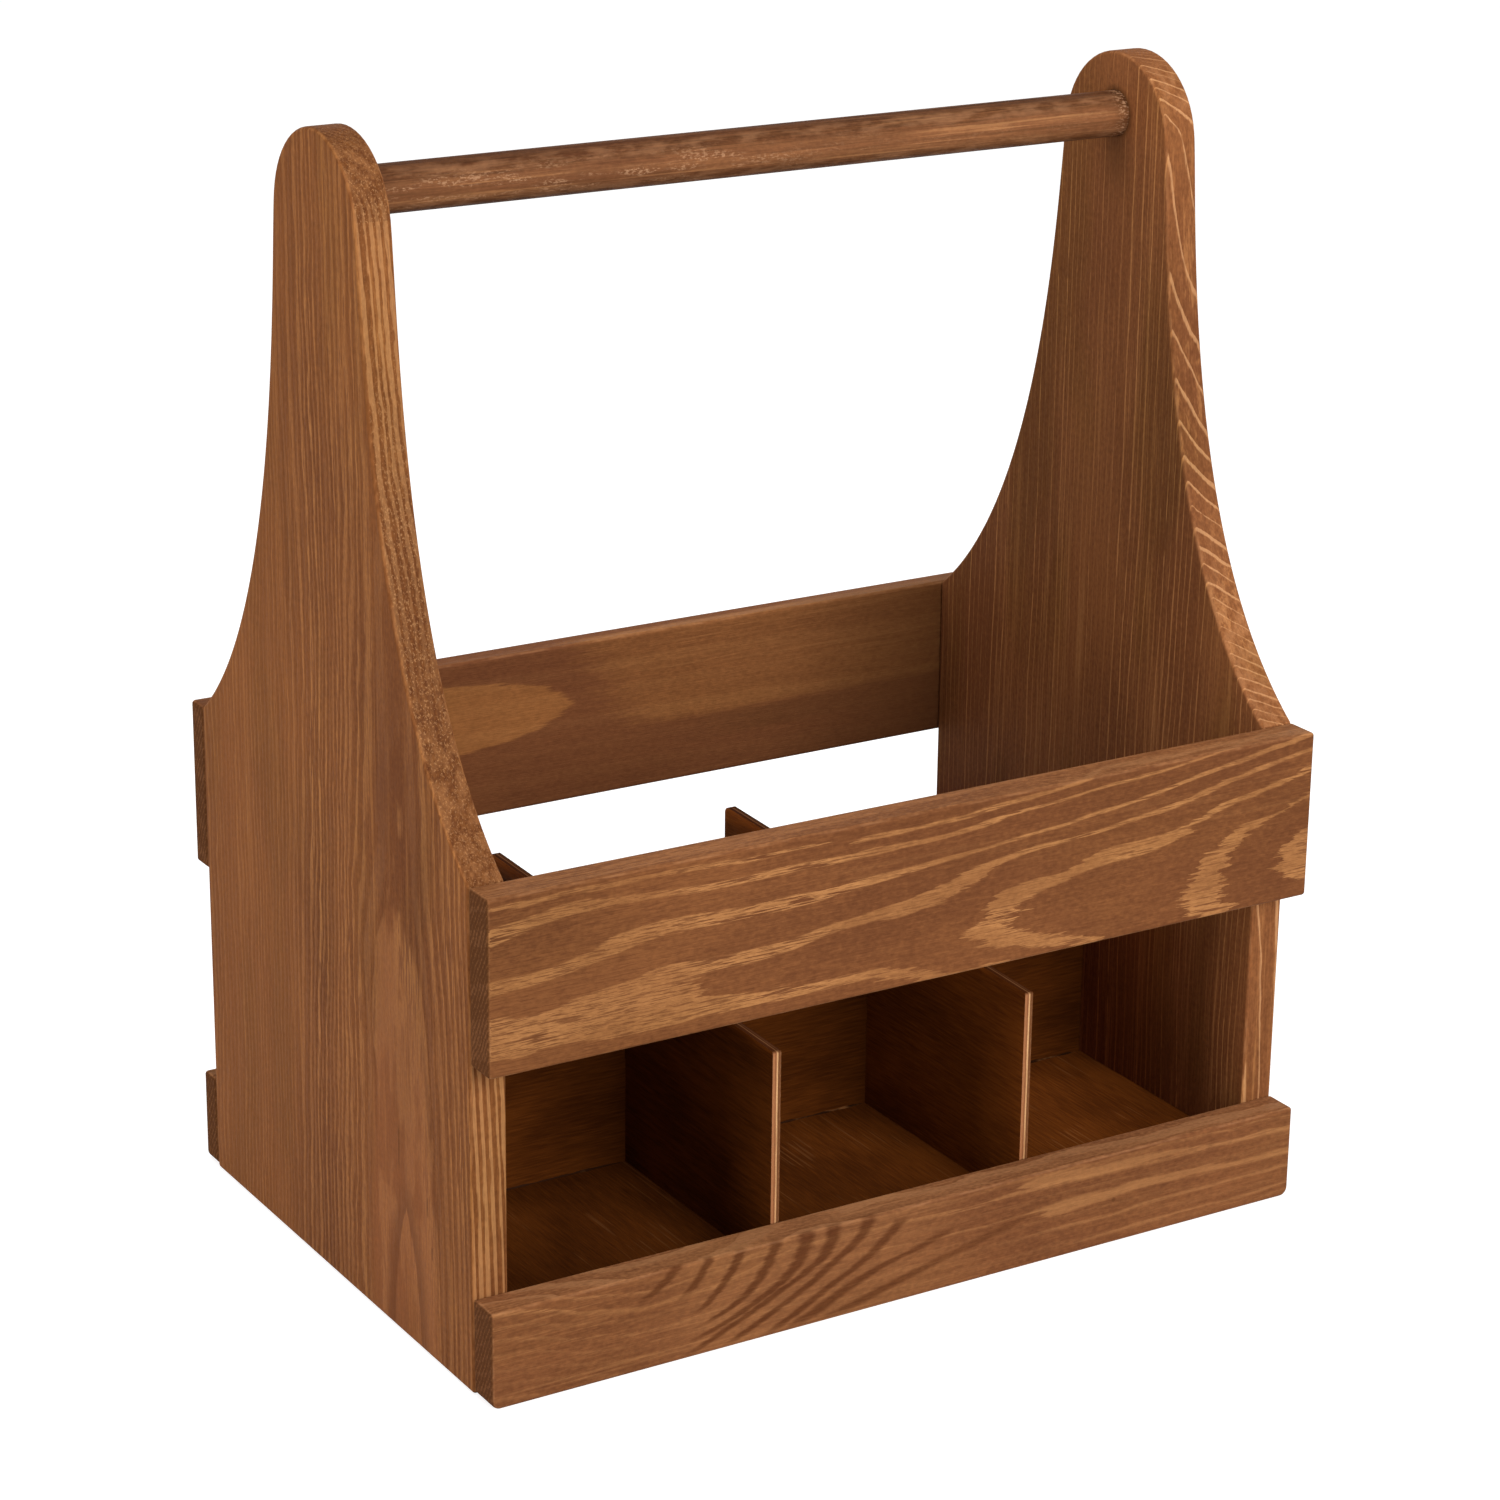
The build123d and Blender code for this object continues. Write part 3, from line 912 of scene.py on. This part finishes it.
def glue_bead(name, start, end, side, seed):
    """A thin fillet of dried glue in the corner between a divider's face and the floor.

    Along the run from start to end, its size ripples slowly and tapers towards both tips. Each
    cross-section is a quarter circle that hollows into the corner: the corner point plus the two unit
    directions, up and to the side, each times the size times one less a sine or a cosine.
    """
    start, end, side = np.array(start), np.array(end), np.array(side, float)
    run = np.linalg.norm(end - start)
    rows = int(run / GLUE_STEP)
    share = np.linspace(0, 1, rows)[:, None]
    size = GLUE_SIZE * (0.75 + 0.45 * ripple(share * run / MM, seed))
    size = size * np.clip(np.minimum(share, 1 - share) * run / GLUE_TAPER, GLUE_THINNEST, 1)
    angle = np.linspace(0, np.pi / 2, ARC_POINTS)[None, :]
    out, up = size * (1 - np.sin(angle)), size * (1 - np.cos(angle))
    corner = start + (end - start) * share
    arc = corner[:, None] + out[..., None] * side + up[..., None] * np.array((0, 0, 1.0))
    ring = np.concatenate((arc, corner[:, None]), axis=1)
    columns = ring.shape[1]
    index = np.arange(rows * columns).reshape(rows, columns)
    after = np.roll(index, -1, axis=1)
    quads = np.stack((index[:-1], after[:-1], after[1:], index[1:]), axis=-1).reshape(-1, 4)
    caps = [list(index[0][::-1]), list(index[-1])]
    mesh = bpy.data.meshes.new(name)
    mesh.from_pydata(ring.reshape(-1, 3).tolist(), [], quads.tolist() + caps)
    outwards(mesh)
    bead = bpy.data.objects.new(name, mesh)
    bpy.context.collection.objects.link(bead)
    mesh.materials.append(dried_glue)
    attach(bead, "root")


def outwards(mesh):
    """Turn every face of a closed shell to point out, and shade it smooth."""
    shell = bmesh.new()
    shell.from_mesh(mesh)
    bmesh.ops.recalc_face_normals(shell, faces=shell.faces)
    shell.to_mesh(mesh)
    shell.free()
    mesh.shade_smooth()


def glue_finish():
    """Dried wood glue that took some stain, patchy along its run."""
    glue = Finish("dried_glue")
    place = glue.place()
    patch = noise(place, (9, 9, 3), 1.0, 3.0)
    colour = blend(patch.rise(0.0, 0.7), linear(GLUE_DARK), linear(GLUE))
    return glue.finish(colour, GLUE_ROUGH + patch * 0.1, patch, GLUE_RELIEF, PINE_GLOSS)


dried_glue = glue_finish()
_, floor_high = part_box("floor_board")
long_low, long_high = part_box("long_divider")
stops = [long_low.x]
for cross in ("left_cross_divider", "right_cross_divider"):
    cross_low, cross_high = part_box(cross)
    stops += [cross_low.x, cross_high.x]
stops.append(long_high.x)
cells = list(zip(("left", "middle", "right"), stops[::2], stops[1::2]))
for place, (cell, x0, x1) in enumerate(cells):
    for row, y, side in (("front", long_low.y, -1), ("back", long_high.y, 1)):
        start, end = (x0 + GLUE_END, y, floor_high.z), (x1 - GLUE_END, y, floor_high.z)
        glue_bead(f"glue_bead_{row}_{cell}", start, end, (0, side, 0), place + 10 * side + 20)


# Studio

SKY_LIGHT = 0.30  # strength of the light from all round
FLOOR_WHITE = 0.5  # how much light the floor throws back
FLOOR_GLOW = 0.80  # what it adds where it is seen
FLOOR_REACH = 8.0  # half its width, in metres
# Each lamp's name, its place and side in metres, and its power in watts
LAMPS = (
    ("front", (0.40, -2.2, 1.1), 1.3, 53),
    ("left", (-2.3, -0.1, 0.55), 1.3, 32),
    ("top", (0.1, 0.0, 2.4), 1.4, 22),
)


def seen_white(tree):
    """1 for rays from the camera, in reflections and through glass, and 0 for light on the caddy."""
    rays = tree.nodes.new("ShaderNodeLightPath")
    seen = Value(tree, rays.outputs["Is Camera Ray"])
    for kind in ("Is Glossy Ray", "Is Transmission Ray"):
        seen = seen.most(Value(tree, rays.outputs[kind]))
    return seen


def studio_world():
    """White to the camera and in reflections, and a soft grey light from all round on the caddy."""
    world = bpy.data.worlds.new("studio")
    bpy.context.scene.world = world
    world.use_nodes = True
    tree = world.node_tree
    background = tree.nodes["Background"]
    background.inputs["Color"].default_value = (1, 1, 1, 1)
    strength = seen_white(tree).rise(0.0, 1.0, SKY_LIGHT, 1.0, soft=False)
    feed(tree, background.inputs["Strength"], strength)


def studio_floor():
    """A wide white floor that glows a little to the camera and keeps the caddy's shadow."""
    mesh = bpy.data.meshes.new("floor")
    corners = [(FLOOR_REACH * x, FLOOR_REACH * y, 0) for x, y in ((-1, -1), (1, -1), (1, 1), (-1, 1))]
    mesh.from_pydata(corners, [], [(0, 1, 2, 3)])
    floor = bpy.data.objects.new("floor", mesh)
    bpy.context.collection.objects.link(floor)
    material = bpy.data.materials.new("white_floor")
    material.use_nodes = True
    tree = material.node_tree
    shader = tree.nodes["Principled BSDF"]
    shader.inputs["Base Color"].default_value = (FLOOR_WHITE, FLOOR_WHITE, FLOOR_WHITE, 1)
    shader.inputs["Roughness"].default_value = 1.0
    shader.inputs["Specular IOR Level"].default_value = 0.0
    shader.inputs["Emission Color"].default_value = (1, 1, 1, 1)
    feed(tree, shader.inputs["Emission Strength"], seen_white(tree) * FLOOR_GLOW)
    mesh.materials.append(material)


def softbox(name, place, size, power):
    """A square lamp that looks at the middle of the caddy."""
    lamp = bpy.data.lights.new(name, "AREA")
    lamp.shape = "SQUARE"
    lamp.size = size
    lamp.energy = power
    box = bpy.data.objects.new(name, lamp)
    bpy.context.collection.objects.link(box)
    middle = (cad_box[0] + cad_box[1]) / 2
    box.location = place
    box.rotation_euler = (Vector(place) - middle).to_track_quat("Z", "Y").to_euler()


def photo_camera():
    """The camera at the photograph's place and angle."""
    azimuth, elevation, roll = (radians(a) for a in (EYE_AZIMUTH, EYE_ELEVATION, EYE_ROLL))
    back = Vector((sin(azimuth) * cos(elevation), -cos(azimuth) * cos(elevation), sin(elevation)))
    level = (-back).cross(Vector((0, 0, 1))).normalized()
    upright = level.cross(-back)
    right = level * cos(roll) + upright * sin(roll)
    up = upright * cos(roll) - level * sin(roll)
    data = bpy.data.cameras.new("camera")
    data.sensor_width = SENSOR
    data.lens = LENS
    camera = bpy.data.objects.new("camera", data)
    bpy.context.collection.objects.link(camera)
    camera.matrix_world = Matrix.Translation(EYE) @ Matrix((right, up, back)).transposed().to_4x4()
    bpy.context.scene.camera = camera


studio_world()
studio_floor()
for lamp in LAMPS:
    softbox(*lamp)
photo_camera()
bpy.context.scene.view_settings.view_transform = "Standard"
